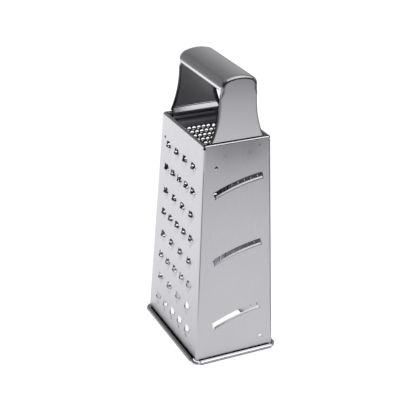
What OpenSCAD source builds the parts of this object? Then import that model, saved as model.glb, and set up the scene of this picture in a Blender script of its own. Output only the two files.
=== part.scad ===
// Four-sided box grater of folded sheet steel on a wire-stiffened base, with an arched grip.
// The slicing side faces -Y, the coarse side -X, the fine side +Y and the rasp side +X.
// Lengths are in millimetres, Z is up and the origin is the middle of the footprint on the floor.

/* [Body] */
// width of the slicing and fine sides where their faces reach the floor
base_w = 70.4; // [66:0.1:76]
// width of the coarse and rasp sides where their faces reach the floor
base_d = 96.9; // [91:0.1:103]
// width of the slicing and fine sides at the rim
rim_w = 56.9; // [54:0.1:61]
// width of the coarse and rasp sides at the rim
rim_d = 77.5; // [73:0.1:83]
// height of the rim above the floor
body_h = 188; // [176:0.5:200]
// thickness of the body sheet
sheet = 0.6; // [0.5:0.05:0.7]
// outer radius of the four upright corner bends
bend_r = 2; // [1.6:0.1:2.6]

/* [Rim hem] */
// outer radius of the rounded fold along the rim
hem_r = 1.45; // [1.2:0.05:1.7]
// length of the flange that hangs inside below the fold
hem_drop = 3; // [2:0.1:4]
// distance from each corner at which the folds begin
hem_start = 1.3; // [0.9:0.1:2]
// bare height left between the fold and the top of a corner bend
bend_notch = 0.6; // [0.4:0.1:1.2]
// width cleared beside a corner bend above its top
corner_relief = 0.3; // [0.2:0.05:0.5]

/* [Base curl] */
// outer radius of the curl rolled round the wire
curl_r = 2; // [1.8:0.05:2.2]
// angle through which the sheet is rolled
curl_turn = 272; // [255:1:285]
// depth of the narrow flat on which the curl stands
foot_cut = 0.12; // [0.06:0.01:0.2]
// radius of the stiffening wire
wire_r = 1.2; // [1:0.05:1.25]
// radius of the bends at the wire's corners, measured at its middle
wire_bend_r = 4; // [3.6:0.1:5]
// distance from a corner to the near end of a curl
curl_near = 2.5; // [2.3:0.1:3.5]
// distance from a corner to the far end of a short side's curl
curl_far = 3.3; // [2.4:0.1:5]
// distance from a corner to the far end of a long side's curl
curl_farther = 6.5; // [4:0.1:8]
// height above the floor of the sheet's edge beside the curls
edge_h = 3.3; // [2.6:0.1:4]

/* [Coarse side] */
// half width of a coarse opening
tooth_half = 3.85; // [3.4:0.05:4.2]
// height to which a coarse cutting lip stands out
tooth_lift = 1.65; // [1.4:0.05:2]
// lean of the pressed ramp below a coarse lip, in degrees
tooth_lean = 15; // [12:0.5:20]
// share of an opening's half width that is cut above the lip
tooth_arch_share = 0.96; // [0.9:0.01:0.98]
// height of a coarse opening above its lip
tooth_open = 4.5; // [3.8:0.1:5]
// radius of the upper corners of a coarse opening
tooth_corner = 2; // [1.5:0.1:3]
// number of coarse rows
tooth_rows = 8; // [4:1:8]
// height of the top coarse row as a share of the side's height
tooth_top_share = 0.868; // [0.862:0.001:0.872]
// distance between coarse rows as a share of the side's height
tooth_row_share = 0.1077; // [0.104:0.0001:0.109]
// spacing within the rows of four as a share of the side's width
four_share = 0.191; // [0.185:0.001:0.2]
// spacing within the rows of five as a share of the side's width
five_share = 0.152; // [0.148:0.001:0.156]
// sideways shift of the coarse field
tooth_shift = 1.1; // [0:0.1:1.5]

/* [Slicing side] */
// radius of the three curved slots
slot_r = 145; // [120:1:180]
// rise of the slots from left to right, in degrees
slot_rise = 14.5; // [10:0.5:18]
// height of a slot's opening
slot_open = 3.6; // [2.8:0.1:4]
// half length of a slot
slot_half = 21.8; // [18:0.1:23]
// height to which a slicing lip stands out
blade_lift = 1.35; // [1:0.05:1.8]
// length of the pressed ramp below a slicing lip
blade_ramp = 2.6; // [2.2:0.1:5]
// gap at each sheared end of a slicing lip
blade_gap = 0.5; // [0.3:0.05:0.8]
// height of the top slot as a share of the side's height
slot_top_share = 0.828; // [0.81:0.001:0.84]
// distance between slots as a share of the side's height
slot_step_share = 0.303; // [0.28:0.001:0.31]

/* [Fine side] */
// radius of a fine hole
fine_r = 1.75; // [1.3:0.05:1.8]
// spacing of the fine holes along a row
fine_pitch = 4.37; // [4.1:0.01:5]
// height to which a fine lip stands out
fine_lift = 0.9; // [0.6:0.05:1]
// radius of the flat top of a fine lip
fine_tip_r = 1.1; // [0.8:0.05:1.3]
// thickness of a fine lip
fine_skin = 0.35; // [0.25:0.05:0.45]
// width by which a fine lip reaches beyond its hole
fine_margin = 0.3; // [0.2:0.05:0.35]
// depth below the middle of a fine hole at which its lip begins
fine_dip = 0.35; // [0.2:0.05:0.6]
// number of rows of fine holes
fine_rows = 39; // [10:1:39]
// height of the top row of fine holes as a share of the side's height
fine_top_share = 0.898; // [0.89:0.001:0.905]
// distance between fine rows as a share of the side's height
fine_row_share = 0.0209; // [0.0205:0.0001:0.0212]
// bare width left beside the fine holes
fine_border = 6.5; // [5:0.1:9]

/* [Rasp side] */
// radius of a rasp hole
rasp_r = 1.15; // [0.9:0.05:1.3]
// radius at the foot of the collar round a rasp hole
rasp_foot_r = 2; // [1.8:0.05:2.3]
// radius at the tip of a rasp collar
rasp_tip_r = 1.35; // [1.32:0.01:1.5]
// height of a rasp collar
rasp_lift = 1.2; // [0.8:0.05:1.5]
// spacing of the rasp holes along a row
rasp_pitch = 7.4; // [6.6:0.1:8.5]
// number of rasp rows
rasp_rows = 22; // [8:1:22]
// height of the top row of rasp holes as a share of the side's height
rasp_top_share = 0.885; // [0.87:0.001:0.895]
// distance between rasp rows as a share of the side's height
rasp_row_share = 0.037; // [0.036:0.0001:0.0375]
// bare width left beside the rasp holes
rasp_border = 9.5; // [8:0.1:13]

/* [Locating holes] */
// radius of the small locating holes near two corners of each side
pilot_r = 1.3; // [1:0.05:1.6]
// height of the upper locating hole as a share of the side's height
pilot_high_share = 0.898; // [0.89:0.001:0.905]
// height of the lower locating hole as a share of the side's height
pilot_low_share = 0.071; // [0.065:0.001:0.075]
// place of the upper hole as a share of the short side's half width
pilot_short_high_share = 0.62; // [0.58:0.01:0.66]
// place of the lower hole as a share of the short side's half width
pilot_short_low_share = 0.68; // [0.64:0.01:0.72]
// place of both holes as a share of the long side's half width
pilot_long_share = 0.79; // [0.76:0.01:0.82]
// clear distance from a locating hole to a fine hole as a share of the spacing along a row
pilot_clear_share = 0.7; // [0.68:0.01:0.9]

/* [Handle] */
// thickness of the handle sheet
handle_sheet = 0.8; // [0.7:0.05:1]
// height of the top of the grip above the floor
handle_top = 239.8; // [226:0.1:250]
// outer radius of the arched grip
grip_r = 18.3; // [17:0.1:19.5]
// half width of the grip and of the upper end plates
grip_half = 14.85; // [14:0.05:15.1]
// radius of the bend from the grip into each end plate
grip_bend = 3.1; // [2.6:0.1:3.6]
// distance by which the end plates stand back from the rim's outer face
plate_back = 0.7; // [0.5:0.05:1]
// clear height between the rim and the end plates
plate_gap = 1.5; // [1:0.1:2]
// radius of the flare at the sides of the end plates
flare_r = 81; // [72:1:92]
// radius of the bead rolled along the edges of the handle
bead_r = 1.05; // [0.9:0.05:1.2]
// distance of the bead's middle from the faces that meet at the edge
bead_in = 0.55; // [0.45:0.05:0.65]
// radius in which the bead turns from the grip down an end plate
bead_turn_r = 3.7; // [3.2:0.1:4.2]
// half width of the tabs inside the rim
tab_half = 20.8; // [18:0.1:21]
// distance from the rim down to the end of each tab
tab_drop = 16; // [14:0.1:18]
// height of the sloped step from an end plate into its tab
step_h = 4; // [3:0.1:5]
// distance between neighbouring sheets that are not welded
sheet_gap = 0.3; // [0.2:0.05:0.4]

/* [Welds] */
// radius of the spot welds
weld_r = 1.8; // [1.4:0.05:2.2]
// distance of the handle welds from the middle
weld_x = 10.6; // [8:0.1:13]
// distance of the handle welds below the rim
weld_drop = 11; // [10.5:0.1:11.6]
// clearance between a spot weld and the body sheet behind it
weld_seat = 0.03; // [0.02:0.01:0.05]
// width of the flange that closes the seam of the body
seam_w = 6.5; // [5:0.1:7.5]

/* [Hidden] */
$fn = 48;
steel = [0.78, 0.78, 0.79];
bright = [0.85, 0.85, 0.86];
over = 1;
front_tilt = atan((base_d - rim_d) / 2 / body_h);
side_tilt = atan((base_w - rim_w) / 2 / body_h);
front_len = body_h / cos(front_tilt);
side_len = body_h / cos(side_tilt);
corner_turn = acos(sin(front_tilt) * sin(side_tilt));
bend_reach = bend_r * tan(corner_turn / 2);
seam_welds = 4;
wire_z = curl_r - foot_cut;
snap = 0.01;

// A length brought to the nearest step, so that pieces drawn end to end meet.
function snapped(length) = round(length / snap) * snap;

// Half width of a side at a height along it.
function half_at(half_base, half_rim, len, z) = half_base + (half_rim - half_base) * z / len;

// Height along a leaning side of the middle of its curl.
function curl_z(tilt) = (wire_z - (curl_r - sheet) * sin(tilt)) / cos(tilt);

// How far the middle of the wire lies outside the face at the floor.
function wire_out(tilt) = (curl_r - sheet) * cos(tilt) - curl_z(tilt) * sin(tilt);

// Moves a side drawn in its own plane to its place: across is X, outward is -Y.
module stand(turn, half_depth, tilt) {
  rotate([0, 0, turn]) translate([0, -half_depth, 0]) rotate([-tilt, 0, 0]) children();
}

// Section of a side and of the corner bend on its right, with the flat running left from the bend.
module bent_section(flat) {
  translate([-flat, 0]) square([flat, sheet]);
  translate([0, bend_r]) intersection() {
    difference() {
      circle(bend_r);
      circle(bend_r - sheet);
    }
    polygon([[0, 0], [0, -2 * bend_r], [2 * bend_r, -2 * bend_r],
             [2 * bend_r * sin(corner_turn), -2 * bend_r * cos(corner_turn)]]);
  }
}

// Sheet of a side between the folds with its right corner bend, without holes.
module blank(half_base, half_rim, len) {
  lean = atan((half_base - half_rim) / len);
  low = edge_h;
  high = len - hem_r;
  notch = len - 2 * hem_r - bend_notch;
  low_half = half_at(half_base, half_rim, len, low) - bend_reach / cos(lean);
  notch_half = half_at(half_base, half_rim, len, notch) - bend_reach / cos(lean) - corner_relief;
  high_half = half_at(half_base, half_rim, len, high) - bend_reach / cos(lean);
  intersection() {
    translate([half_base, 0, 0]) rotate([0, -lean, 0]) translate([-bend_reach, 0, 0])
      linear_extrude(len + over) bent_section(2 * half_base + over);
    rotate([90, 0, 0]) translate([0, 0, -bend_r - over]) linear_extrude(bend_r + 2 * over)
      polygon([[-low_half, low], [half_base + over, low], [half_base + over, notch], [notch_half, notch],
               [high_half - corner_relief, high], [-high_half, high]]);
  }
}

// Rounded fold along the rim with its flange hanging inside, mitred at both ends.
module hem(half_rim, len) {
  reach = half_rim - hem_start;
  intersection() {
    rotate([90, 0, 90]) translate([0, 0, -half_rim]) linear_extrude(2 * half_rim) {
      difference() {
        translate([hem_r, len - hem_r]) circle(hem_r);
        translate([hem_r, len - hem_r]) circle(hem_r - sheet);
        translate([-over, len - 2 * hem_r - over]) square([2 * (hem_r + over), hem_r + over]);
      }
      translate([2 * hem_r - sheet, len - hem_r - hem_drop]) square([sheet, hem_drop]);
      translate([0, len - 2 * hem_r]) square([sheet, hem_r]);
    }
    linear_extrude(len + over)
      polygon([[-reach, -over], [reach, -over], [reach, 0], [reach - 2 * hem_r - over, 2 * hem_r + over],
               [-reach + 2 * hem_r + over, 2 * hem_r + over], [-reach, 0]]);
  }
}

// Curl rolled outward round the wire, open at the top against the face.
module curl(left, right, tilt) {
  z = curl_z(tilt);
  translate([-left, 0, 0]) rotate([90, 0, 90]) linear_extrude(left + right) {
    translate([sheet - curl_r, z]) difference() {
      circle(curl_r);
      circle(curl_r - sheet);
      polygon([[0, 0], [3 * curl_r, 0], [3 * curl_r, 3 * curl_r],
               [3 * curl_r * cos(curl_turn), -3 * curl_r * sin(curl_turn)]]);
    }
    translate([0, z]) square([sheet, edge_h - z + over]);
  }
}

// A whole side without its cutting features.
module side(half_base, half_rim, len, tilt, left, right) {
  blank(half_base, half_rim, len);
  hem(half_rim, len);
  curl(half_base - left, half_base - right, tilt);
}

// Half-space below the floor, used to form the narrow flat under each curl.
module under_floor() {
  size = base_d + base_w;
  translate([-size / 2, -size / 2, -size]) cube(size);
}

// Small round hole through a side.
module pilot(x, z) {
  translate([x, sheet + over, z]) rotate([90, 0, 0]) cylinder(h = sheet + 2 * over, r = pilot_r);
}

// Both locating holes of a side, seen from outside: upper left and lower right.
module pilots(half_base, half_rim, len, high_share, low_share) {
  high = pilot_high_share * len;
  low = pilot_low_share * len;
  pilot(-high_share * half_at(half_base, half_rim, len, high), high);
  pilot(low_share * half_at(half_base, half_rim, len, low), low);
}

// Leaning round bar that shapes a coarse tooth: its middle line sinks into the sheet going down.
tooth_r = (tooth_half * tooth_half + tooth_lift * tooth_lift) / (2 * tooth_lift);
tooth_len = tooth_lift / tan(tooth_lean);
module tooth_bar(r) {
  translate([0, tooth_r - tooth_lift, 0]) rotate([180 + tooth_lean, 0, 0])
    translate([0, 0, -tooth_r]) cylinder(h = tooth_len + 3 * tooth_r, r = r);
}

// Pressed lip of a coarse tooth with its ramp.
module tooth_lip() {
  intersection() {
    difference() {
      tooth_bar(tooth_r);
      tooth_bar(tooth_r - sheet);
    }
    translate([-tooth_r, -tooth_lift - over, -tooth_len - over])
      cube([2 * tooth_r, tooth_lift + over + sheet / 2, tooth_len + over]);
  }
}

// Space cut through the sheet for a coarse tooth: an arch above the lip and the hollow under it.
module tooth_cut() {
  half = tooth_half * tooth_arch_share;
  rotate([90, 0, 0]) translate([0, 0, -sheet - over]) linear_extrude(sheet + 2 * over) {
    translate([-half, 0]) square([2 * half, tooth_open - tooth_corner]);
    translate([-half + tooth_corner, 0]) square([2 * (half - tooth_corner), tooth_open]);
    for (s = [-1, 1])
      translate([s * (half - tooth_corner), tooth_open - tooth_corner]) circle(tooth_corner);
  }
  intersection() {
    tooth_bar(tooth_r - sheet);
    translate([-tooth_r, -over, -2 * tooth_len - over])
      cube([2 * tooth_r, sheet + 2 * over, 2 * tooth_len + over]);
  }
}

// Places of the coarse teeth: rows of four and five by turns.
module each_tooth(half_base, half_rim, len) {
  for (row = [0 : tooth_rows - 1]) {
    z = (tooth_top_share - row * tooth_row_share) * len;
    many = 4 + row % 2;
    step = 2 * half_at(half_base, half_rim, len, z) * (many == 4 ? four_share : five_share);
    for (i = [0 : many - 1]) translate([(i - (many - 1) / 2) * step - tooth_shift, 0, z]) children();
  }
}

module coarse_panel() {
  color(steel) difference() {
    stand(-90, base_w / 2, side_tilt) {
      difference() {
        side(base_d / 2, rim_d / 2, side_len, side_tilt, curl_near, curl_farther);
        each_tooth(base_d / 2, rim_d / 2, side_len) tooth_cut();
        pilots(base_d / 2, rim_d / 2, side_len, pilot_long_share, pilot_long_share);
      }
      each_tooth(base_d / 2, rim_d / 2, side_len) tooth_lip();
    }
    under_floor();
  }
}

// Frames of the three slots: the origin lies on the upper edge, X along the chord.
module each_slot() {
  for (row = [0 : 2])
    translate([0, 0, (slot_top_share - row * slot_step_share) * front_len])
      rotate([0, -slot_rise, 0]) children();
}

// Disc whose edge is one of the arcs of a slot.
module slot_disc(r, from, to) {
  translate([0, to, -slot_r]) rotate([90, 0, 0]) cylinder(h = to - from, r = r, $fn = 180);
}

// Space cut for a slot and for the pressed lip below it.
module slot_cut() {
  intersection() {
    difference() {
      slot_disc(slot_r, -over, sheet + over);
      slot_disc(slot_r - slot_open - blade_ramp, -2 * over, sheet + 2 * over);
    }
    translate([-slot_half, -3 * over, -slot_r / 2]) cube([2 * slot_half, sheet + 6 * over, slot_r]);
  }
}

// Solid in front of the ramp: a flat cone that opens outward, moved inward by a distance.
module blade_cone(inward) {
  foot = slot_r - slot_open - blade_ramp;
  far = blade_lift + over;
  translate([0, inward, -slot_r]) rotate([90, 0, 0])
    cylinder(h = far, r1 = foot, r2 = foot + blade_ramp * far / blade_lift, $fn = 180);
}

// Pressed slicing lip: a strip of a flat cone that rises to the slot's lower edge.
module blade() {
  intersection() {
    difference() {
      blade_cone(sheet);
      blade_cone(0);
    }
    slot_disc(slot_r - slot_open, -blade_lift - over, sheet + over);
    translate([-slot_half + blade_gap, -3 * over, -slot_open - 2 * blade_ramp])
      cube([2 * (slot_half - blade_gap), sheet + 6 * over, slot_open + 2 * blade_ramp]);
  }
}

module slicer_panel() {
  color(steel) difference() {
    stand(0, base_d / 2, front_tilt) {
      difference() {
        side(base_w / 2, rim_w / 2, front_len, front_tilt, curl_far, curl_near);
        each_slot() slot_cut();
        pilots(base_w / 2, rim_w / 2, front_len, pilot_short_high_share, pilot_short_low_share);
      }
      each_slot() blade();
    }
    under_floor();
  }
}

// Places of the fine holes of one row: each row is shifted by a third of the spacing.
module each_in_row(row) {
  half_base = base_w / 2;
  half_rim = rim_w / 2;
  z = (fine_top_share - row * fine_row_share) * front_len;
  room = half_at(half_base, half_rim, front_len, z) - fine_border;
  shift = (row % 3) * fine_pitch / 3;
  first = ceil((-room - shift) / fine_pitch);
  last = floor((room - shift) / fine_pitch);
  for (i = [first : last]) {
    x = i * fine_pitch + shift;
    if (!near_pilot(half_base, half_rim, front_len, x, z)) translate([x, 0, z]) children();
  }
}

// True where a fine hole would run into a locating hole.
function near_pilot(half_base, half_rim, len, x, z) =
  norm([x + pilot_short_high_share * half_at(half_base, half_rim, len, pilot_high_share * len),
        z - pilot_high_share * len])
    < fine_pitch * pilot_clear_share
  || norm([x - pilot_short_low_share * half_at(half_base, half_rim, len, pilot_low_share * len),
           z - pilot_low_share * len])
    < fine_pitch * pilot_clear_share;

// Solid hood in front of a fine hole, moved inward by a distance.
module fine_hood(inward) {
  translate([0, inward, 0]) rotate([90, 0, 0])
    cylinder(h = fine_lift, r1 = fine_r + fine_margin, r2 = fine_tip_r);
}

// Hooded lips over the lower halves of one row of fine holes.
module fine_lips(row) {
  z = (fine_top_share - row * fine_row_share) * front_len;
  intersection() {
    difference() {
      each_in_row(row) fine_hood(0);
      each_in_row(row) fine_hood(fine_skin);
    }
    translate([-base_w, -fine_lift - over, z - fine_dip - 2 * fine_pitch])
      cube([2 * base_w, fine_lift + 2 * over, 2 * fine_pitch]);
  }
}

module fine_panel() {
  color(steel) difference() {
    stand(180, base_d / 2, front_tilt) {
      difference() {
        side(base_w / 2, rim_w / 2, front_len, front_tilt, curl_far, curl_near);
        for (row = [0 : fine_rows - 1]) each_in_row(row)
          translate([0, sheet + over, 0]) rotate([90, 0, 0]) cylinder(h = sheet + 2 * over, r = fine_r);
        pilots(base_w / 2, rim_w / 2, front_len, pilot_short_high_share, pilot_short_low_share);
      }
      for (row = [0 : fine_rows - 1]) fine_lips(row);
    }
    under_floor();
  }
}

// Places of the rasp holes in staggered rows.
module each_rasp(half_base, half_rim, len) {
  for (row = [0 : rasp_rows - 1]) {
    z = (rasp_top_share - row * rasp_row_share) * len;
    room = half_at(half_base, half_rim, len, z) - rasp_border;
    shift = (row % 2) * rasp_pitch / 2;
    first = ceil((-room - shift) / rasp_pitch);
    last = floor((room - shift) / rasp_pitch);
    for (i = [first : last]) translate([i * rasp_pitch + shift, 0, z]) children();
  }
}

// Raised collar round a rasp hole.
module rasp_collar() {
  translate([0, sheet / 2, 0]) rotate([90, 0, 0]) difference() {
    cylinder(h = rasp_lift + sheet / 2, r1 = rasp_foot_r, r2 = rasp_tip_r);
    translate([0, 0, -over]) cylinder(h = rasp_lift + sheet + 2 * over, r = rasp_r);
  }
}

module rasp_panel() {
  color(steel) difference() {
    stand(90, base_w / 2, side_tilt) {
      difference() {
        side(base_d / 2, rim_d / 2, side_len, side_tilt, curl_near, curl_farther);
        each_rasp(base_d / 2, rim_d / 2, side_len)
          translate([0, sheet + over, 0]) rotate([90, 0, 0]) cylinder(h = sheet + 2 * over, r = rasp_r);
        pilots(base_d / 2, rim_d / 2, side_len, pilot_long_share, pilot_long_share);
      }
      each_rasp(base_d / 2, rim_d / 2, side_len) rasp_collar();
    }
    under_floor();
  }
}

// One rounded corner of the wire, turned about its own middle.
module wire_corner(turn) {
  rotate([0, 0, turn]) rotate_extrude(angle = 90) translate([wire_bend_r, 0]) circle(wire_r);
}

// Wire bent into one closed ring inside the curls, with bare rounded corners.
module base_wire() {
  far_x = snapped(base_w / 2 + wire_out(side_tilt));
  far_y = snapped(base_d / 2 + wire_out(front_tilt));
  run_x = far_x - wire_bend_r;
  run_y = far_y - wire_bend_r;
  color(bright) translate([0, 0, wire_z]) {
    translate([0, far_y, 0]) rotate([0, 90, 0]) cylinder(h = 2 * run_x, r = wire_r, center = true);
    translate([run_x, run_y, 0]) wire_corner(0);
    translate([far_x, 0, 0]) rotate([90, 0, 0]) cylinder(h = 2 * run_y, r = wire_r, center = true);
    translate([run_x, -run_y, 0]) wire_corner(-90);
    translate([0, -far_y, 0]) rotate([0, 90, 0]) cylinder(h = 2 * run_x, r = wire_r, center = true);
    translate([-run_x, -run_y, 0]) wire_corner(180);
    translate([-far_x, 0, 0]) rotate([90, 0, 0]) cylinder(h = 2 * run_y, r = wire_r, center = true);
    translate([-run_x, run_y, 0]) wire_corner(90);
  }
}

// Handle measures that follow from the sizes above.
plate_y = rim_d / 2 - plate_back;
grip_z = handle_top - grip_r;
grip_edge_z = grip_z + sqrt(grip_r * grip_r - grip_half * grip_half);
plate_low = body_h + plate_gap;
flare_h = grip_z - plate_low;
flare_out = flare_r - sqrt(flare_r * flare_r - flare_h * flare_h);
tab_out = 2 * hem_r + sheet_gap;

// Section of the grip and the upper end plates, from the middle line of the arch outwards.
module grip_section() {
  run = plate_y - grip_bend;
  translate([grip_r - handle_sheet, -run]) square([handle_sheet, 2 * run]);
  for (s = [0, 1]) mirror([0, s]) {
    translate([grip_r - grip_bend, run]) intersection() {
      difference() {
        circle(grip_bend);
        circle(grip_bend - handle_sheet);
      }
      square(grip_bend + over);
    }
    translate([0, plate_y - handle_sheet]) square([grip_r - grip_bend, handle_sheet]);
  }
}

// Arched grip with its rounded ends and the round tops of both end plates, cut at the sides.
module grip() {
  intersection() {
    translate([0, 0, grip_z]) rotate([90, 0, 0]) rotate_extrude(angle = 180) grip_section();
    translate([-grip_half, -rim_d, grip_z - over]) cube([2 * grip_half, 2 * rim_d, grip_r + 2 * over]);
  }
}

// Outline of an end plate below the round top, flared at the sides.
module plate_outline() {
  far = grip_half + flare_out;
  translate([-grip_half / 2, plate_low]) square([grip_half, grip_z - plate_low + grip_half / 2]);
  difference() {
    translate([-far, plate_low]) square([2 * far, grip_z - plate_low]);
    for (s = [-1, 1]) translate([s * (grip_half + flare_r), grip_z]) circle(flare_r);
  }
}

// Flat end plate in front.
module end_plate() {
  translate([0, -plate_y + handle_sheet, 0]) rotate([90, 0, 0]) linear_extrude(handle_sheet) plate_outline();
}

// Bead rolled along one edge of the handle: along the grip, round the end and down the plate.
module edge_bead() {
  x = grip_half - bead_in;
  z = grip_edge_z - bead_in;
  y = plate_y - bead_in;
  flare_turn = asin((flare_h - 2 * bead_r) / flare_r);
  translate([x, y - bead_turn_r, z]) rotate([90, 0, 0]) cylinder(h = 2 * (y - bead_turn_r), r = bead_r);
  for (s = [0, 1]) mirror([0, s, 0]) {
    translate([x, -y + bead_turn_r, z - bead_turn_r]) rotate([90, 0, -90])
      rotate_extrude(angle = 90) translate([bead_turn_r, 0]) circle(bead_r);
    translate([x, -y, grip_z]) cylinder(h = z - bead_turn_r - grip_z, r = bead_r);
    translate([x + flare_r, -y, grip_z]) rotate([90, 0, 0]) rotate([0, 0, 180])
      rotate_extrude(angle = flare_turn) translate([flare_r, 0]) circle(bead_r);
  }
}

// Tab in front: a sloped step inward over the hem, a step back out under it and a flat foot.
module tab() {
  t = handle_sheet;
  y0 = -plate_y;
  y1 = -rim_d / 2 + tab_out;
  low = body_h - tab_drop;
  under = body_h - hem_r - hem_drop - sheet_gap;
  y2 = -rim_d / 2 + sheet + sheet_gap;
  lean = tan(front_tilt);
  intersection() {
    translate([-grip_half - flare_out, 0, 0]) rotate([90, 0, 90])
      linear_extrude(2 * (grip_half + flare_out))
      polygon([[y0, plate_low + over], [y0, plate_low + t], [y1, plate_low + t - step_h],
               [y1 - lean * (plate_low - under), under],
               [y2 - lean * (body_h - under) - lean * step_h / 2, under - step_h / 2],
               [y2 - lean * tab_drop, low], [y2 - lean * tab_drop + t, low],
               [y2 - lean * (body_h - under) - lean * step_h / 2 + t, under - step_h / 2 + t / 2],
               [y1 - lean * (plate_low - under) + t, under + t / 2],
               [y1 + t, plate_low + t - step_h + t / 2], [y0 + t, plate_low + t + t / 2],
               [y0 + t, plate_low + over]]);
    translate([-tab_half, -rim_d, low]) cube([2 * tab_half, 2 * rim_d, plate_low + over - low]);
  }
}

module handle() {
  color(bright) {
    grip();
    for (s = [0, 1]) mirror([0, s, 0]) {
      end_plate();
      tab();
    }
    for (s = [0, 1]) mirror([s, 0, 0]) edge_bead();
  }
}

// Spot weld that fills the gap between a tab and the side behind it.
module handle_weld(turn, x) {
  color(bright) stand(turn, base_d / 2, front_tilt)
    translate([x, sheet + sheet_gap, (body_h - weld_drop) / cos(front_tilt)]) rotate([90, 0, 0])
      cylinder(h = sheet_gap - weld_seat, r = weld_r);
}

module weld_front_left() { handle_weld(0, -weld_x); }
module weld_front_right() { handle_weld(0, weld_x); }
module weld_back_left() { handle_weld(180, -weld_x); }
module weld_back_right() { handle_weld(180, weld_x); }

// Flange that carries on from the fine side and lies inside the rasp side.
module seam_flange() {
  color(steel) stand(90, base_w / 2, side_tilt) seam_strip(sheet + sheet_gap, sheet, seam_w, 1);
}

// Strip along the right edge of the rasp side.
module seam_strip(inward, thick, wide, ends) {
  half_base = base_d / 2;
  half_rim = rim_d / 2;
  low = edge_h + ends * curl_r;
  high = side_len - hem_r - hem_drop - ends * curl_r;
  inset = bend_r + sheet_gap;
  low_half = half_at(half_base, half_rim, side_len, low) - inset;
  high_half = half_at(half_base, half_rim, side_len, high) - inset;
  rotate([90, 0, 0]) translate([0, 0, -inward - thick]) linear_extrude(thick)
    polygon([[low_half - wide, low], [low_half, low], [high_half, high], [high_half - wide, high]]);
}

// One spot weld between the flange and the rasp side, counted from the floor.
module seam_weld(count) {
  z = side_len * count / (seam_welds + 1);
  x = half_at(base_d / 2, rim_d / 2, side_len, z) - bend_r - sheet_gap - seam_w / 2;
  color(bright) stand(90, base_w / 2, side_tilt) translate([x, sheet + sheet_gap, z]) rotate([90, 0, 0])
    cylinder(h = sheet_gap - weld_seat, r = weld_r);
}

module seam_weld_1() { seam_weld(1); }
module seam_weld_2() { seam_weld(2); }
module seam_weld_3() { seam_weld(3); }
module seam_weld_4() { seam_weld(4); }

coarse_panel();
slicer_panel();
fine_panel();
rasp_panel();
base_wire();
handle();
weld_front_left();
weld_front_right();
weld_back_left();
weld_back_right();
seam_flange();
seam_weld_1();
seam_weld_2();
seam_weld_3();
seam_weld_4();
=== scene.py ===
import bmesh
import bpy
import numpy as np
from mathutils import Matrix, Vector


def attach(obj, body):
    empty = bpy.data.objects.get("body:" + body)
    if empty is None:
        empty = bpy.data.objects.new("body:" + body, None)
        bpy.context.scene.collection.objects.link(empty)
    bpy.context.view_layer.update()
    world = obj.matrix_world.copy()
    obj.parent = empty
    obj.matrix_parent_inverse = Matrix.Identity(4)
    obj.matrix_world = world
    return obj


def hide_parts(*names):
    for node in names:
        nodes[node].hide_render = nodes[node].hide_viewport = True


# Camera as fitted to the photo: place in metres, directions of its right and upper edges, lens and sensor
# in millimetres, and the nearest and farthest distances that it sees.
camera = {"place": (-0.36787, -0.72679, 0.51630),
          "right": (0.90288126, -0.42920276, 0.02429838), "up": (0.16798349, 0.40427358, 0.89907976),
          "lens": 100.31, "sensor": 36.0, "near": 0.01, "far": 30.0}
cameraData = bpy.data.cameras.new("camera")
cameraData.lens = camera["lens"]
cameraData.sensor_width = camera["sensor"]
cameraData.clip_start = camera["near"]
cameraData.clip_end = camera["far"]
cameraObject = bpy.data.objects.new("camera", cameraData)
bpy.context.scene.collection.objects.link(cameraObject)
right, up = Vector(camera["right"]), Vector(camera["up"])
turned = Matrix((right, up, right.cross(up))).transposed().to_4x4()
cameraObject.matrix_world = Matrix.Translation(camera["place"]) @ turned
bpy.context.scene.camera = cameraObject
bpy.context.scene.view_settings.view_transform = "Standard"
print("camera set")

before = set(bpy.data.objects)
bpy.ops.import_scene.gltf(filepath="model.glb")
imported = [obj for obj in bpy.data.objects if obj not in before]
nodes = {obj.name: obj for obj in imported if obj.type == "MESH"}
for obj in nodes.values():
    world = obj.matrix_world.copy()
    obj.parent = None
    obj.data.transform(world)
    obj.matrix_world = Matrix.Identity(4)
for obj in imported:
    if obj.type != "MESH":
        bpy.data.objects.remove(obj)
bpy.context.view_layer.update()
print("frame loaded with", len(nodes), "nodes")

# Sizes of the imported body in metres: half widths in x and y at the floor and at the rim, height and sheet.
body = {"foot": (0.0352, 0.04845), "rim": (0.02845, 0.03875), "height": 0.188, "sheet": 0.0006}
slopes = [(foot - rim) / body["height"] for foot, rim in zip(body["foot"], body["rim"])]


# Linear colour of an sRGB hex text: c / 12.92 up to 0.04045, otherwise ((c + 0.055) / 1.055) ** 2.4.
def linear(text):
    parts = [int(text[i:i + 2], 16) / 255 for i in (1, 3, 5)]
    return [c / 12.92 if c <= 0.04045 else ((c + 0.055) / 1.055) ** 2.4 for c in parts] + [1.0]


# Adds a shader node with its settings. Inputs go by order in a list or by key in a dictionary; each is a
# value, a node whose first output is linked, or a pair of a node and the output to link.
def add(tree, kind, inputs=(), **settings):
    made = tree.nodes.new("ShaderNode" + kind)
    for key, value in settings.items():
        setattr(made, key, value)
    for key, value in inputs.items() if isinstance(inputs, dict) else enumerate(inputs):
        paired = isinstance(value, tuple) and hasattr(value[0], "outputs")
        node, output = value if paired else (value, 0)
        if hasattr(node, "outputs"):
            tree.links.new(node.outputs[output], made.inputs[key])
        else:
            made.inputs[key].default_value = value
    return made


# Empties the node tree of a material or world and returns it.
def cleared(owner):
    owner.use_nodes = True
    owner.node_tree.nodes.clear()
    return owner.node_tree


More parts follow.
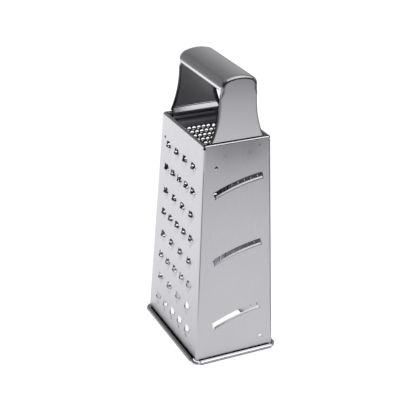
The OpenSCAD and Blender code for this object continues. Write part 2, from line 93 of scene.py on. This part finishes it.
# Level that follows a value: steps of (value, level) with straight runs between them. A small margin keeps
# the outer steps clear of the two that each new ramp has, which are taken off.
def graded(tree, value, steps):
    margin = (steps[-1][0] - steps[0][0]) / 1000
    low, high = steps[0][0] - margin, steps[-1][0] + margin
    spot = add(tree, "MapRange", [value, low, high, 0.0, 1.0])
    made = add(tree, "ValToRGB", [spot])
    stops = made.color_ramp.elements
    for where, level in steps:
        stops.new((where - low) / (high - low)).color = (level, level, level, 1)
    stops.remove(stops[0])
    stops.remove(stops[-1])
    return made


eased = {"interpolation_type": "SMOOTHSTEP"}

# Painted shade in the gap between each face and its curl: a circle in the section (distance out of the face,
# height), dark within the first radius and clear beyond the second. The wire is bare again at its corners,
# where the lesser of its two distances rises through "corner".
curlGapShade = {"middle": (0.0005, 0.0030, 0.0), "radii": (0.00095, 0.00120), "kept": 0.03,
           "corner": (-0.0045, -0.0035)}


# What the sheet and the wire have in common: |x|, |y| and |z|, the distances out of the two faces, which are
# |x| or |y| plus slope times z less the half width at the floor, the greater of them, and the share of light
# kept in the gap.
def gapParts(tree, place):
    whole = add(tree, "VectorMath", [(place, "Object")], operation="ABSOLUTE")
    axes = add(tree, "SeparateXYZ", [whole])
    out = []
    for side in (0, 1):
        lean = add(tree, "Math", [(axes, 2), slopes[side], -body["foot"][side]], operation="MULTIPLY_ADD")
        out.append(add(tree, "Math", [(axes, side), lean], operation="ADD"))
    most = add(tree, "Math", out, operation="MAXIMUM")
    section = add(tree, "CombineXYZ", [most, (axes, 2)])
    away = add(tree, "VectorMath", [section, curlGapShade["middle"]], operation="DISTANCE")
    gap = add(tree, "MapRange", [(away, 1), *curlGapShade["radii"], curlGapShade["kept"], 1.0], **eased)
    return axes, out, most, gap


# Wire: painted shade in the gap, but not at the open corners.
def wireShades(tree, place):
    axes, out, most, gap = gapParts(tree, place)
    least = add(tree, "Math", out, operation="MINIMUM")
    corner = add(tree, "MapRange", [least, *curlGapShade["corner"], 0.0, 1.0])
    return [add(tree, "Math", [gap, corner], operation="MAXIMUM")]


# Painted shade on the sheet: on the curls of the long sides, past the distances "out" and below the heights
# "below", and on its inner side, short of the distances "inner", by steps of (height, share of light).
paintedSheetShade = {"curl": 0.88, "out": (0.0004, 0.0010), "below": (0.0042, 0.0046), "inner": (-0.00045, -0.00030),
             "innerShade": ((0.0, 1.0), (0.0301, 1.0), (0.0752, 0.40),
                      (0.1617, 0.40), (0.1730, 0.85), (0.188, 0.85))}


# Sheet of the body: painted shade in the gap, on the curls of the long sides and on the inner side.
def sheetShades(tree, place):
    axes, out, most, gap = gapParts(tree, place)
    rolled = add(tree, "MapRange", [out[0], *paintedSheetShade["out"], 1.0, paintedSheetShade["curl"]])
    above = add(tree, "MapRange", [(axes, 2), *paintedSheetShade["below"], 0.0, 1.0])
    curls = add(tree, "Math", [rolled, above], operation="MAXIMUM")
    outside = add(tree, "MapRange", [most, *paintedSheetShade["inner"], 0.0, 1.0])
    innerShade = graded(tree, (axes, 2), paintedSheetShade["innerShade"])
    inside = add(tree, "Math", [outside, innerShade], operation="MAXIMUM")
    return [gap, curls, inside]


# Marks and painted shade on the slicing side: middle, radii between which each fades, and the share of light
# kept inside.
slicerMarksAndShade = (((-0.0106, -0.0393, 0.1772), (0.0006, 0.0024), 0.86),  # heat mark of the left spot weld
               ((0.0106, -0.0393, 0.1772), (0.0006, 0.0024), 0.84),  # heat mark of the right spot weld
               ((0.0188, -0.0391, 0.1821), (0.0003, 0.0012), 0.50),  # small dent, painted as a dark spot of shade
               ((0.012, -0.0395, 0.1800), (0.001, 0.016), 0.88),  # soft darker patch on the right, below the rim
               ((-0.010, -0.0391, 0.1860), (0.001, 0.020), 0.90),  # soft darker patch on the left, below the rim
               ((0.0, -0.0387, 0.1990), (0.010, 0.045), 0.80))  # soft shade under the end plate


# Share kept by each mark or painted shade, eased from its middle outwards.
def marksAndShade(tree, place):
    shades = []
    for middle, radii, kept in slicerMarksAndShade:
        away = add(tree, "VectorMath", [(place, "Object"), middle], operation="DISTANCE")
        shades.append(add(tree, "MapRange", [(away, 1), *radii, kept, 1.0], **eased))
    return shades


# Painted shadow in the gap under the front end plate: the rim's fold is dark above the heights and short of
# the distances |y|.
rimGap = {"out": (0.0379, 0.0382), "above": (0.1868, 0.1872), "kept": 0.04}


# Share of light kept on the rim's fold in that painted shadow.
def rimShades(tree, place):
    whole = add(tree, "VectorMath", [(place, "Object")], operation="ABSOLUTE")
    axes = add(tree, "SeparateXYZ", [whole])
    ahead = add(tree, "MapRange", [(axes, 1), *rimGap["out"], rimGap["kept"], 1.0], **eased)
    below = add(tree, "MapRange", [(axes, 2), *rimGap["above"], 1.0, 0.0], **eased)
    return [add(tree, "Math", [ahead, below], operation="MAXIMUM")]


# Painted shade: the share of light that the handle's points carry in their attribute "shade".
def paintedShades(tree, place):
    return [(add(tree, "Attribute", attribute_name="shade"), "Fac")]


noiseRange = (0.3, 0.7)  # most values of a noise lie between these
grainDepth = 0.0001  # height of the grain in metres, before its strength
grainNoise = {"Scale": 1.0, "Detail": 3.0, "Roughness": 0.6}  # already scaled; octaves, and their fall
cloudOctaves = 4.0


# Satin stainless steel: a cloudy tint between two close greys, fine grain drawn out along one axis in
# roughness and bump, and the colour darkened by marks and by painted shade in gaps and folds.
def steel(name, look):
    material = bpy.data.materials.new(name)
    tree = cleared(material)
    place = add(tree, "TexCoord")
    scale = [1000 / spacing for spacing in look["grain"]]
    drawn = add(tree, "Mapping", {"Vector": (place, "Object"), "Scale": scale})
    grain = add(tree, "TexNoise", dict(grainNoise, Vector=drawn))
    clouds = {"Vector": (place, "Object"), "Scale": 1000 / look["cloud"], "Detail": cloudOctaves}
    cloud = add(tree, "TexNoise", clouds)
    greys = {"Factor": cloud, "A": linear(look["dark"]), "B": linear(look["pale"])}
    colour = (add(tree, "Mix", greys, data_type="RGBA"), 2)
    for shades in look["shades"]:
        for shade in shades(tree, place):
            colour = add(tree, "VectorMath", {0: colour, "Scale": shade}, operation="SCALE")
    polish = (look["rough"] - look["spread"], look["rough"] + look["spread"])
    rough = add(tree, "MapRange", [grain, *noiseRange, *polish])
    bump = add(tree, "Bump", {"Height": grain, "Strength": look["relief"], "Distance": grainDepth})
    surface = {"Base Color": colour, "Metallic": 1.0, "Roughness": rough, "Normal": bump}
    skin = add(tree, "BsdfPrincipled", surface)
    add(tree, "OutputMaterial", {"Surface": skin})
    return material


# Grain and clouds are spacings in millimetres along x, y and z. Real rolling grain is some 0.05 mm wide,
# too fine to show in the render, so it is drawn about ten times as coarse.
# Body: stainless sheet, cold rolled to a satin finish, with soft reflections and faint upright lines.
bodyLook = {"dark": "#c5c4c9", "pale": "#cbcacf", "rough": 0.30, "spread": 0.03, "relief": 0.04,
            "grain": (5 / 9, 5 / 9, 50 / 3), "cloud": 100 / 3, "shades": (sheetShades,)}
# Slicing side: the same sheet with its marks, painted shade and the painted shadow in the gap under the end
# plate.
slicerLook = dict(bodyLook, shades=(sheetShades, rimShades, marksAndShade))
# Handle: the same sheet smoothed by the press, so its reflections are clearer; grain along the grip; painted
# shade carried on its points.
handleLook = dict(bodyLook, rough=0.19, grain=(5 / 9, 25 / 2, 5 / 9), shades=(paintedShades,))
# Inner side of the handle: the unpolished back of the sheet, dull and cloudy.
innerLook = dict(handleLook, dark="#b4b3b8", pale="#c6c5ca", rough=0.50, spread=0.05,
                 cloud=100 / 9, shades=())
# Tabs: the handle's sheet where it goes down inside the rim, smoother than its unpolished back, and darker in
# colour as painted shade inside the rim.
tabLook = dict(innerLook, dark="#97969b", pale="#a2a1a6", rough=0.27, spread=0.03)
# Wire: drawn stainless steel, smoother than the sheet and with no direction in its grain.
wireLook = dict(bodyLook, rough=0.22, grain=(10 / 9, 10 / 9, 10 / 9), shades=(wireShades,))
# Ground edge of the slicing lips: smoother and darker than the sheet round it.
honedLook = {"dark": "#a9a9ad", "pale": "#b2b2b6", "rough": 0.22, "spread": 0.02, "relief": 0.02,
             "grain": (5 / 3, 5 / 3, 5 / 3), "cloud": 50 / 3, "shades": ()}
# Spot welds: pressed nuggets, browned by heat and duller.
weldLook = dict(bodyLook, dark="#8f8d8c", pale="#a3a1a0", rough=0.4)

finish = {"body": steel("satin_body_sheet", bodyLook), "slicer": steel("satin_slicer_sheet", slicerLook),
          "handle": steel("satin_handle_sheet", handleLook), "inner": steel("dull_inner_sheet", innerLook),
          "tab": steel("tab_sheet", tabLook), "wire": steel("drawn_wire", wireLook),
          "honed": steel("honed_edge", honedLook), "weld": steel("weld_nugget", weldLook)}
kinds = {"handle": "handle", "base_wire": "wire", "slicer_panel": "slicer"}
for name, node in nodes.items():
    node.data.materials.clear()
    node.data.materials.append(finish["weld" if "weld" in name else kinds.get(name, "body")])
print("materials given")

# Handle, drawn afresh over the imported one, in metres. Its outline, seen from the front, is a crown arc
# between two shoulder arcs, then a short skirt, upright sides and a flare down to the rim.
handleShape = {
    # Height, half width of the grip, lower edge and outer face of the end plates, thickness of the sheet.
    "top": 0.2398, "half": 0.0154, "low": 0.1893, "plateY": 0.03805, "thick": 0.0008,
    # Height of the arch, radius of its shoulders, length of the skirt, height and radius of the flare.
    "rise": 0.0086, "shoulder": 0.0072, "skirt": 0.0015, "flareHeight": 0.0326, "flareRadius": 0.081,
    # Bends from the face into the grip and into the sides, and the height over which one becomes the other.
    "bend": 0.0026, "sideBend": 0.0013, "blend": 0.0070,
    # Depth of the sides behind their bend, radius of the turn into them, and radius of the rolled edge.
    "flange": 0.0010, "turn": 0.0026, "roll": 0.0008,
    # Painted shade: shares of light kept on the sides' edge, faded in between two heights below the grip, and
    # on its bend.
    "edgeShare": 0.12, "fade": (0.0015, 0.0040), "browShares": (0.65, 0.55, 0.5, 0.45, 0.45, 0.5, 0.55),
    # Points along each part; "apex" is how many rows of the face at the crown fade from the bend's share.
    "steps": {"crown": 18, "shoulder": 24, "skirt": 4, "turn": 16, "upright": 20, "flare": 48,
              "bend": 10, "flange": 7, "face": 23, "apex": 3, "grip": 13, "round": 20}}


# Arc of the outline about a middle, by angles from the top: middle plus radius times (sine, cosine), which
# is the normal too. Rows of the outline are (x, z, normal x, normal z).
def arcRows(x, z, radius, angles):
    sine, cosine = np.sin(angles), np.cos(angles)
    return np.stack([x + radius * sine, z + radius * cosine, sine, cosine], 1)


# Upright stretch of the outline at one x, by its heights; the normal points straight out.
def uprightRows(x, heights):
    return np.stack([np.full_like(heights, x), heights, np.ones_like(heights), np.zeros_like(heights)], 1)


# Right half of the outline from the crown down, as arch and side. The crown's middle lies d below those of
# the shoulders, and its radius is rise + d, where d = (a^2 - c^2) / 2c, a = half - shoulder and c = rise -
# shoulder. The flare is an arc about a middle outside the handle.
def handleOutline(look):
    steps = look["steps"]
    aside, spare = look["half"] - look["shoulder"], look["rise"] - look["shoulder"]
    drop = (aside ** 2 - spare ** 2) / (2 * spare)
    base, flareTop = look["top"] - look["rise"], look["low"] + look["flareHeight"]
    meet = np.arctan2(aside, drop)
    crown = np.linspace(0, meet, steps["crown"])
    shoulder = np.linspace(meet, np.pi / 2, steps["shoulder"])[1:]
    skirt = np.linspace(0, look["skirt"], steps["skirt"])[1:]
    turning = look["skirt"] + look["turn"] * (1 - np.cos(np.linspace(0, np.pi / 2, steps["turn"])))
    upright = np.linspace(turning[-1], base - flareTop, steps["upright"])[1:]
    flare = np.linspace(0, np.arcsin(look["flareHeight"] / look["flareRadius"]), steps["flare"])[1:]
    arch = np.concatenate([arcRows(0, base - drop, look["rise"] + drop, crown),
                           arcRows(aside, base, look["shoulder"], shoulder),
                           uprightRows(look["half"], base - skirt)])
    side = np.concatenate([uprightRows(look["half"], base - np.concatenate([turning, upright])),
                           arcRows(look["half"] + look["flareRadius"], flareTop, -look["flareRadius"],
                                   np.pi / 2 - flare)])
    return arch, side


# Rows of the sheet at the front end, each from the free edge on the left round the bend, over the flat face
# and back. Bend: offset = b (sin t - 1) along the normal, y = b (1 - cos t) - plateY, with t from 0 on the
# face to a quarter turn; behind it the flange goes straight back to the free edge, in steps that widen.
def endRows(rows, bend, edge, look):
    steps = look["steps"]
    t = np.linspace(0, np.pi / 2, steps["bend"])
    offset = bend[:, None] * (np.sin(t) - 1)
    depth = bend[:, None] * (1 - np.cos(t)) - look["plateY"]
    back = np.linspace(0, 1, steps["flange"] + 1)[1:] ** 1.5
    depth = np.concatenate([depth, depth[:, -1:] + (edge[:, None] - depth[:, -1:]) * back], 1)
    offset = np.concatenate([offset, np.zeros((len(rows), len(back)))], 1)
    x = rows[:, 0:1] + offset * rows[:, 2:3]
    z = rows[:, 1:2] + offset * rows[:, 3:4]
    flat = np.linspace(-1, 1, steps["face"] + 2)[1:-1]
    rightSide = np.stack([x, depth, z], 2)
    leftSide = rightSide[:, ::-1] * (-1, 1, 1)
    face = rightSide[:, 0:1] * np.stack([flat, np.ones_like(flat), np.ones_like(flat)], 1)
    return np.concatenate([leftSide, face, rightSide], 1)


# Free edge of the sides, by how far a row lies below the grip: the bend's radius, eased from the grip's to
# the sides', the edge's y, a quarter circle into the flange's even depth, and how far its shade has come in.
def sideEdges(look, fallen):
    turned = np.clip(fallen / look["turn"], 0, 1)
    depth = look["sideBend"] + look["flange"]
    edge = look["turn"] * (1 - np.sqrt(1 - (1 - turned) ** 2)) - look["plateY"] + depth
    ease = np.clip(fallen / look["blend"], 0, 1)
    bend = look["bend"] + (look["sideBend"] - look["bend"]) * ease * ease * (3 - 2 * ease)
    first, last = look["fade"]
    return bend, edge, np.clip((fallen - first) / (last - first), 0, 1)


# Sheet of the handle: arch and sides at the front end, and the same mirrored for the back end. Across a row
# of the sides the shade rises round the bend from the edge's share to 1, as share + (1 - share) t ** 1.5.
def handleSheet(look, arch, side):
    steps = look["steps"]
    bend, edge, under = sideEdges(look, arch[-1, 1] - side[:, 1])
    top = endRows(arch, np.full(len(arch), look["bend"]), np.zeros(len(arch)), look)
    lower = endRows(side, bend, edge, look)
    share, columns = look["edgeShare"], steps["flange"] + steps["bend"]
    edgeHalf = np.full(columns, share)
    edgeHalf[steps["flange"]:] = share + (1 - share) * np.linspace(0, 1, steps["bend"]) ** 1.5
    browHalf = np.ones(columns)
    browHalf[-len(look["browShares"]):] = look["browShares"]
    across, brow = [np.concatenate([part, np.ones(steps["face"]), part[::-1]])[None]
                    for part in (edgeHalf, browHalf)]
    under = under[:, None]
    lowerShade = (1 - under * (1 - across)) * (brow + (1 - brow) * under)
    topShade = np.tile(brow, (len(top), 1))
    # At the crown the face is so narrow that its first rows fade from the share of the bend.
    topShade[:steps["apex"], columns:-columns] = np.linspace(browHalf[-1], 1, steps["apex"])[:, None]
    grids = [grid * (1, end, 1) for end in (1, -1) for grid in (top, lower)]
    return grids, [False, False, True, True], [topShade, lowerShade] * 2


# Tube along a path: at each point the section is a circle turned from one direction to another.
def tubeGrid(path, first, second, radius, around):
    turn = np.linspace(0, 2 * np.pi, around + 1)[None, :, None]
    return path[:, None] + radius * (np.cos(turn) * first[:, None] + np.sin(turn) * second[:, None])


# Rolled edge, four times by mirroring: a tube along the grip's lower edge, through the turn and down the
# side, its middle one radius inside the outline. Its section turns from the outline's normal to the normal
# crossed with the path's direction.
def handleRoll(look, arch, side):
    low, radius, straight = arch[-1, 1], look["roll"], look["steps"]["grip"]
    bend, edge, under = sideEdges(look, low - side[:, 1])
    run = np.linspace(0, edge[0], straight + 1)[:-1]
    grip = np.stack([np.full(straight, look["half"] - radius), run, np.full(straight, low)], 1)
    outward = np.stack([side[:, 2], np.zeros(len(side)), side[:, 3]], 1)
    down = np.stack([side[:, 0], edge, side[:, 1]], 1) - radius * outward
    inward = np.cross(outward, np.gradient(down, axis=0))
    inward /= np.linalg.norm(inward, axis=1)[:, None]
    first = np.concatenate([np.tile([1.0, 0.0, 0.0], (straight, 1)), outward])
    second = np.concatenate([np.tile([0.0, 0.0, -1.0], (straight, 1)), inward])
    tube = tubeGrid(np.concatenate([grip, down]), first, second, radius, look["steps"]["round"])
    # Painted shade on the rolled edge down the sides, fading in as on the sides' edge.
    along = np.concatenate([np.ones(straight), 1 - under * (1 - look["edgeShare"])])
    shade = np.tile(along[:, None], (1, tube.shape[1]))
    ends = [(x, y) for x in (1, -1) for y in (1, -1)]
    return [tube * (x, y, 1) for x, y in ends], [x * y < 0 for x, y in ends], [shade] * 4


# Tabs of the handle, which go down inside the rim, in metres.
tabShape = {
    # Half width, how far the tab goes below the rim, and how far it reaches up behind the end plate.
    "half": 0.0209, "drop": 0.0160, "behind": 0.0010,
    # Hem that it steps over: depth of the rim's fold, length of its flange, and the gap kept to them.
    "hem": 0.00145, "flange": 0.0030, "gap": 0.0003,
    # Height of the step in over the hem, twice that of the step out; softening of the corners, and the most
    # of a leg that the softening may take.
    "step": 0.0040, "soft": 0.0009, "most": 0.45,
    # Painted shade: the outer side is dark up to this height over the plate's lower edge; share of light kept
    # there.
    "darkTo": 0.0012, "kept": 0.04,
    "steps": {"corner": 7, "across": 30}}


# Tab at the front end, a path of (y, z) drawn out in x: down the end plate, a quarter of the sheet behind
# its outer face, in over the hem, down along it, out to the wall and down it. Each corner h becomes the curve
# (1 - t)^2 p + 2t (1 - t) h + t^2 q, where p and q lie before and after it by the softening, or by the most
# that the shorter leg allows.
def tabGrid(look, handle):
    rimY, height, lean, step = body["rim"][1], body["height"], slopes[1], look["step"]
    inY = -rimY + 2 * look["hem"] + look["gap"]
    outY = -rimY + body["sheet"] + look["gap"]
    under = height - look["hem"] - look["flange"] - look["gap"]
    top, plate = handle["low"] + handle["thick"], handle["thick"] / 4 - handle["plateY"]
    corners = np.array([(plate, top + look["behind"]), (plate, top), (inY, top - step),
                        (inY - lean * (handle["low"] - under), under),
                        (outY - lean * (height - under + step / 2), under - step / 2),
                        (outY - lean * look["drop"], height - look["drop"])])
    legs = np.diff(corners, axis=0)
    lengths = np.linalg.norm(legs, axis=1)[:, None]
    soft = np.minimum(look["soft"], look["most"] * np.minimum(lengths[:-1], lengths[1:]))
    here = corners[1:-1]
    before, after = here - legs[:-1] / lengths[:-1] * soft, here + legs[1:] / lengths[1:] * soft
    t = np.linspace(0, 1, look["steps"]["corner"])[None, :, None]
    curves = (1 - t) ** 2 * before[:, None] + 2 * t * (1 - t) * here[:, None] + t ** 2 * after[:, None]
    path = np.concatenate([corners[:1], curves.reshape(-1, 2), corners[-1:]])
    across = np.linspace(-look["half"], look["half"], look["steps"]["across"])[None]
    return np.stack(np.broadcast_arrays(across, path[:, 0:1], path[:, 1:2]), 2)


# Four-cornered faces between neighbouring points of a grid, wound so that the normals point out.
def gridFaces(rows, columns, start, flip):
    spot = start + np.arange(rows * columns).reshape(rows, columns)
    quads = np.stack([spot[:-1, :-1], spot[1:, :-1], spot[1:, 1:], spot[:-1, 1:]], 2).reshape(-1, 4)
    return quads[:, ::-1] if flip else quads


joinDistance = 0.00001  # points of neighbouring grids that are closer than this become one


# Object from grids of points (rows, columns, 3), joined where they meet, without faces that have no area.
# Shades give the share of light kept at each point.
def grown(name, grids, flips, shades=()):
    points = np.concatenate([grid.reshape(-1, 3) for grid in grids])
    starts = np.cumsum([0] + [grid.shape[0] * grid.shape[1] for grid in grids])
    faces = [gridFaces(*grid.shape[:2], start, flip) for grid, start, flip in zip(grids, starts, flips)]
    mesh = bpy.data.meshes.new(name)
    mesh.from_pydata(points.tolist(), [], np.concatenate(faces).tolist())
    if shades:
        values = np.concatenate([shade.reshape(-1) for shade in shades]).astype(np.float32)
        mesh.attributes.new("shade", "FLOAT", "POINT").data.foreach_set("value", values)
    work = bmesh.new()
    work.from_mesh(mesh)
    bmesh.ops.remove_doubles(work, verts=work.verts, dist=joinDistance)
    bmesh.ops.dissolve_degenerate(work, edges=work.edges, dist=joinDistance / 10)
    work.to_mesh(mesh)
    work.free()
    mesh.polygons.foreach_set("use_smooth", [True] * len(mesh.polygons))
    made = bpy.data.objects.new(name, mesh)
    bpy.context.scene.collection.objects.link(made)
    return made


arch, side = handleOutline(handleShape)
tab = tabGrid(tabShape, handleShape)
tabShade = np.where(tab[:, :, 2] < handleShape["low"] + tabShape["darkTo"], tabShape["kept"], 1.0)
shell = grown("handle_shell", *handleSheet(handleShape, arch, side))
tabs = grown("handle_tabs", [tab, tab * (1, -1, 1)], [False, True], [tabShade, tabShade])
rolled = grown("handle_rolled_edge", *handleRoll(handleShape, arch, side))
for piece, inner in ((shell, "inner"), (tabs, "tab"), (rolled, None)):
    piece.data.materials.append(finish["handle"])
    if inner:
        # The sheet gets its thickness inwards, with the dull finish on its inner side.
        piece.data.materials.append(finish[inner])
        thick = piece.modifiers.new("thickness", "SOLIDIFY")
        thick.thickness = handleShape["thick"]
        thick.offset = -1.0
        thick.material_offset = 1
    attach(piece, "root")
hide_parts("handle")
print("handle drawn")

# Ground edges of the slicing lips, in metres.
honedShape = {
    # Lower arc of the slot: radius, how far its middle lies below the slot's place, half length, and turn.
    "radius": 0.1414, "centre": 0.145, "half": 0.0213, "rise": np.radians(14.5),
    # Places of the three slots as shares of the slanted face, and the number of points along each edge.
    "shares": (0.828, 0.525, 0.222), "steps": 61,
    # Section: (height above the arc, distance out of the face).
    "section": ((0.00030, 0.00085), (-0.00055, 0.00160), (-0.00130, 0.00072), (-0.0001, 0.00080))}


# Section carried along the arc: (radius + height) times (sine, cosine) less the middle's depth, then turned
# by the slots' rise, raised to its place and leant with the face. At both ends it shrinks to its middle.
def honedGrid(look, share):
    angle = np.linspace(-look["half"], look["half"], look["steps"])[:, None] / look["radius"]
    width = np.ones((look["steps"], 1, 1))
    width[[0, -1]] = 0
    middle = np.mean(look["section"], 0)
    section = middle + (np.array(look["section"] + look["section"][:1]) - middle) * width
    far, out = look["radius"] + section[:, :, 0], -section[:, :, 1]
    x, z = far * np.sin(angle), far * np.cos(angle) - look["centre"]
    rise, lean = look["rise"], np.arctan(slopes[1])
    faceLength = np.hypot(body["height"], body["foot"][1] - body["rim"][1])
    across = x * np.cos(rise) - z * np.sin(rise)
    high = x * np.sin(rise) + z * np.cos(rise) + share * faceLength
    return np.stack([across, out * np.cos(lean) + high * np.sin(lean) - body["foot"][1],
                     high * np.cos(lean) - out * np.sin(lean)], 2)


for count, share in enumerate(honedShape["shares"], 1):
    edge = grown("honed_edge_%d" % count, [honedGrid(honedShape, share)], [False])
    edge.data.materials.append(finish["honed"])
    edge.data.polygons.foreach_set("use_smooth", [False] * len(edge.data.polygons))
    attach(edge, "root")
print("ground edges drawn")

# Floor: plain white to the camera, without a shadow, as in the photo. Reflections see it as a graded table.
floorLook = {
    # Half size, depth below the foot, the floor's grey for diffuse light, and the faint grey on which
    # reflections see the object's shadow.
    "half": 6.0, "below": 0.00005, "matt": 0.9, "shadow": 0.12,
    # Table of painted light and shade that reflections see on the floor: direction of the view, and steps of
    # (metres along it, level) from behind the object forwards.
    "along": (0.423, -0.906, 0.0),
    "table": ((-1.0, 0.25), (-0.82, 0.28), (-0.74, 1.50), (-0.60, 1.50), (-0.52, 1.15), (-0.18, 1.12),
              (-0.05, 0.96), (0.05, 0.87), (0.20, 0.87), (0.33, 0.90), (0.42, 0.87), (0.50, 0.78),
              (0.58, 0.68), (0.66, 0.56), (0.70, 0.20), (0.75, 0.06), (0.80, 0.06)),
    # Painted dark wedge on the right, a shade that reflections see: the point it opens from, its direction,
    # the cosines to that direction at which it starts and is full, and its level.
    "hinge": (0.02, -0.02, 0.0), "side": (0.970, 0.242, 0.0), "wedge": (0.45, 0.62), "wedgeLevel": 0.12,
    # Painted shadow on the ground at the body's edge, seen in reflections: half widths of the foot, and steps
    # of (metres out from it, level).
    "foot": (0.0388, 0.0520),
    "skirt": ((-0.02, 1.0), (-0.0003, 1.0), (0.0002, 0.10), (0.0016, 0.10), (0.005, 1.0), (0.03, 1.0))}
half = floorLook["half"]
floorMesh = bpy.data.meshes.new("floor")
floorCorners = [(-half, -half, 0), (half, -half, 0), (half, half, 0), (-half, half, 0)]
floorMesh.from_pydata(floorCorners, [], [(0, 1, 2, 3)])
floor = bpy.data.objects.new("floor", floorMesh)
floor.location = (0, 0, -floorLook["below"])
bpy.context.scene.collection.objects.link(floor)
floorMaterial = bpy.data.materials.new("white_floor")
tree = cleared(floorMaterial)
rays = add(tree, "LightPath")
ground = add(tree, "TexCoord")
along = add(tree, "VectorMath", [(ground, "Object"), floorLook["along"]], operation="DOT_PRODUCT")
table = graded(tree, (along, 1), floorLook["table"])
offset = add(tree, "VectorMath", [(ground, "Object"), floorLook["hinge"]], operation="SUBTRACT")
unit = add(tree, "VectorMath", [offset], operation="NORMALIZE")
sideways = add(tree, "VectorMath", [unit, floorLook["side"]], operation="DOT_PRODUCT")
wedge = add(tree, "MapRange", [(sideways, 1), *floorLook["wedge"], 1.0, floorLook["wedgeLevel"]], **eased)
whole = add(tree, "VectorMath", [(ground, "Object")], operation="ABSOLUTE")
axes = add(tree, "SeparateXYZ", [whole])
beyond = [add(tree, "Math", [(axes, way), floorLook["foot"][way]], operation="SUBTRACT") for way in (0, 1)]
farther = add(tree, "Math", beyond, operation="MAXIMUM")
skirt = graded(tree, farther, floorLook["skirt"])
tableWedge = add(tree, "Math", [table, wedge], operation="MULTIPLY")
mirrored = add(tree, "Math", [tableWedge, skirt], operation="MULTIPLY")
strength = add(tree, "Mix", {"Factor": (rays, "Is Camera Ray"), "A": mirrored, "B": 1.0}, data_type="FLOAT")
matt = add(tree, "BsdfDiffuse", {"Color": [floorLook["matt"]] * 3 + [1]})
faint = add(tree, "BsdfDiffuse", {"Color": [floorLook["shadow"]] * 3 + [1]})
glow = add(tree, "Emission", {"Strength": strength})
lit = add(tree, "AddShader", [faint, glow])
shown = add(tree, "Math", [(rays, "Is Camera Ray"), (rays, "Is Glossy Ray")], operation="MAXIMUM")
mixed = add(tree, "MixShader", [shown, matt, lit])
add(tree, "OutputMaterial", {"Surface": mixed})
floorMesh.materials.append(floorMaterial)
print("floor laid")

# World: white to the camera, one plain level to diffuse light, and to reflections a grey studio.
studioLook = {
    # Studio: steps of (height of the direction, level), and how it brightens to the right.
    "steps": ((-1.0, 0.40), (0.08, 0.40), (0.30, 0.37), (0.44, 0.31), (0.56, 0.22), (0.66, 0.24),
              (0.80, 0.42), (1.0, 0.50)),
    "sideways": (-0.6, 0.6), "sideLevels": (0.62, 1.25),
    # Dim horizon in front: where it ends along the direction's y and its height, and the share kept.
    "ahead": (-0.80, -0.45), "overhead": (0.40, 0.55), "dim": 0.15,
    # Large soft box high in front, to the right of the camera: direction, cosines to it at which it starts
    # and is full, and level.
    "boxAim": (0.40, -0.47, 0.787), "boxEdge": (0.82, 0.92), "boxLevel": 2.1,
    # Level of the world for diffuse light.
    "diffuse": 0.75}
world = bpy.data.worlds.new("studio")
bpy.context.scene.world = world
tree = cleared(world)
rays = add(tree, "LightPath")
sky = add(tree, "TexCoord")
axes = add(tree, "SeparateXYZ", [(sky, "Generated")])
studio = graded(tree, (axes, 2), studioLook["steps"])
rightward = add(tree, "MapRange", [(axes, 0), *studioLook["sideways"], *studioLook["sideLevels"]])
walls = add(tree, "Math", [studio, rightward], operation="MULTIPLY")
ahead = add(tree, "MapRange", [(axes, 1), *studioLook["ahead"], studioLook["dim"], 1.0], **eased)
overhead = add(tree, "MapRange", [(axes, 2), *studioLook["overhead"], studioLook["dim"], 1.0], **eased)
horizon = add(tree, "Math", [ahead, overhead], operation="MAXIMUM")
dimmed = add(tree, "Math", [walls, horizon], operation="MULTIPLY")
toward = add(tree, "VectorMath", [(sky, "Generated"), studioLook["boxAim"]], operation="DOT_PRODUCT")
softBox = add(tree, "MapRange", [(toward, 1), *studioLook["boxEdge"], 0.0, studioLook["boxLevel"]], **eased)
glossy = add(tree, "Math", [dimmed, softBox], operation="MAXIMUM")
plain = {"Factor": (rays, "Is Glossy Ray"), "A": studioLook["diffuse"], "B": glossy}
unseen = add(tree, "Mix", plain, data_type="FLOAT")
level = add(tree, "Mix", {"Factor": (rays, "Is Camera Ray"), "A": unseen, "B": 1.0}, data_type="FLOAT")
light = add(tree, "Background", {"Color": (1, 1, 1, 1), "Strength": level})
add(tree, "OutputWorld", {"Surface": light})

# One soft box high in front, to the right of the camera: place, aim and size in metres, power in watts.
frontBox = {"place": (0.53, -0.90, 0.98), "aim": (0.0, 0.0, 0.2), "size": (0.30, 0.30), "power": 0.40}
lampData = bpy.data.lights.new("front_box", "AREA")
lampData.shape = "RECTANGLE"
lampData.size, lampData.size_y = frontBox["size"]
lampData.energy = frontBox["power"]
lamp = bpy.data.objects.new("front_box", lampData)
lamp.location = frontBox["place"]
lamp.rotation_mode = "QUATERNION"
lamp.rotation_quaternion = (Vector(frontBox["place"]) - Vector(frontBox["aim"])).to_track_quat("Z", "Y")
bpy.context.scene.collection.objects.link(lamp)
print("studio and lamp set")
